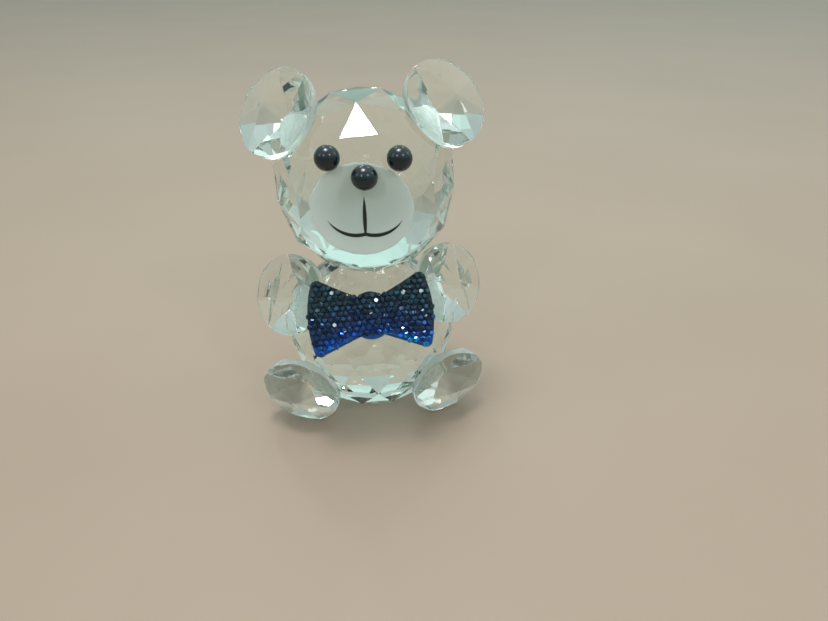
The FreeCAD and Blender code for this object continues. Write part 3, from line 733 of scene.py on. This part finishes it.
def satin_table():
    """Pale lacquered board, smooth and faintly mottled."""
    material, tree = new_material("pale_satin_board")
    place = node(tree, "ShaderNodeTexCoord").outputs["Object"]
    mottle = node(tree, "ShaderNodeTexNoise", {"Vector": place, "Scale": 9, "Detail": 3})
    tint = node(tree, "ShaderNodeMix", {0: mottle.outputs["Fac"], 6: srgb("968373"), 7: srgb("A08D7D")},
                data_type="RGBA")
    board = node(tree, "ShaderNodeBsdfPrincipled", {"Base Color": tint.outputs[2], "Roughness": 0.45})
    node(tree, "ShaderNodeOutputMaterial", {"Surface": board.outputs["BSDF"]})
    return material


table_shell = bmesh.new()
bmesh.ops.create_grid(table_shell, x_segments=2, y_segments=2, size=TABLE_REACH)
table = bpy.data.objects.new("table", to_mesh(table_shell, "table", satin_table()))
bpy.context.scene.collection.objects.link(table)


def softbox(name, place, target, width, height, radiance, colour="FFFFFF"):
    """Rectangular soft light whose face has the same brightness whatever its size."""
    lamp = bpy.data.lights.new(name, "AREA")
    lamp.shape = "RECTANGLE"
    lamp.size = width
    lamp.size_y = height
    lamp.energy = radiance * math.pi * width * height
    lamp.color = srgb(colour)[:3]
    holder = bpy.data.objects.new(name, lamp)
    holder.location = place
    holder.rotation_euler = (Vector(target) - Vector(place)).to_track_quat("-Z", "Y").to_euler()
    bpy.context.scene.collection.objects.link(holder)


# A wide lens close by, from in front and above.
camera = bpy.data.objects.new("camera", bpy.data.cameras.new("camera"))
camera.location = (0.0, -132.25 * MM, 100.69 * MM)
camera.rotation_euler = (math.radians(59.288), 0.0, math.radians(-4.577))
camera.data.lens = 27.04
camera.data.sensor_width = 36.0
camera.data.clip_start = 0.01
bpy.context.scene.collection.objects.link(camera)
bpy.context.scene.camera = camera

# The forehead facet mirrors both overhead softboxes into the camera.
aim = Vector((-0.07, -math.cos(FOREHEAD_RISE), math.sin(FOREHEAD_RISE))).normalized()
facets = [polygon for polygon in head_crystal.data.polygons if polygon.area > FACET_AREA]
forehead = max(facets, key=lambda facet: facet.normal.dot(aim))
seen = (camera.location - forehead.center).normalized()
mirrored = (2 * forehead.normal.dot(seen) * forehead.normal - seen).normalized()
softbox("softbox_overhead", forehead.center + mirrored * 0.6, forehead.center, 0.085, 0.085, 34)
softbox("softbox_ceiling", forehead.center + mirrored * 0.8, forehead.center, 0.3, 0.3, 10.5)
for name, place, width, height, radiance, colour in (
        ("softbox_left", (-0.75, -0.2, 0.5), 0.12, 0.3, 3.0, "FFFFFF"),
        ("softbox_right", (0.75, 0.1, 0.5), 0.12, 0.3, 3.0, "FFFFFF"),
        ("window_behind", (0.1, 1.4, 0.65), 1.8, 0.5, 0.3, "A4F0DE"),
        ("lamp_behind_left", (-0.3, 0.9, 0.9), 0.08, 0.08, 30, "FFFFFF"),
        ("lamp_behind_right", (0.4, 0.9, 0.9), 0.08, 0.08, 30, "FFFFFF"),
        ("lamp_front_left", (-0.4, -0.7, 0.7), 0.08, 0.08, 45, "FFFFFF"),
        ("lamp_front_right", (0.45, -0.6, 0.7), 0.08, 0.08, 45, "FFFFFF")):
    softbox(name, place, BEAR_MIDDLE, width, height, radiance, colour)

# Soft light from every side: brighter overhead than near the floor, brighter behind the bear than in
# front of it, and brighter to the viewer's right than to the left.
world = bpy.data.worlds.new("studio")
world.use_nodes = True
studio = world.node_tree
studio.nodes.clear()
direction = node(studio, "ShaderNodeTexCoord").outputs["Generated"]
axes = node(studio, "ShaderNodeSeparateXYZ", {0: direction})
dome = node(studio, "ShaderNodeMapRange", {"Value": axes.outputs["Z"], "From Min": 0.0,
                                           "From Max": 0.75, "To Min": 0.56, "To Max": 1.16})
room = node(studio, "ShaderNodeMapRange", {"Value": axes.outputs["Y"], "From Min": -1.0,
                                           "From Max": 0.2, "To Min": 0.6, "To Max": 1.0})
side = node(studio, "ShaderNodeMapRange", {"Value": axes.outputs["X"], "From Min": -0.8,
                                           "From Max": 0.8, "To Min": 0.75, "To Max": 1.15})
shade = node(studio, "ShaderNodeMath", {0: room.outputs["Result"], 1: side.outputs["Result"]},
             operation="MULTIPLY")
level = node(studio, "ShaderNodeMath", {0: dome.outputs["Result"], 1: shade.outputs["Value"]},
             operation="MULTIPLY")
sky = node(studio, "ShaderNodeBackground", {"Color": srgb("DFF0EC"), "Strength": level.outputs["Value"]})
node(studio, "ShaderNodeOutputWorld", {"Surface": sky.outputs[0]})
bpy.context.scene.world = world
bpy.context.scene.view_settings.view_transform = "Standard"
bpy.context.scene.cycles.max_bounces = 32
bpy.context.scene.cycles.transmission_bounces = 32
bpy.context.scene.cycles.glossy_bounces = 24
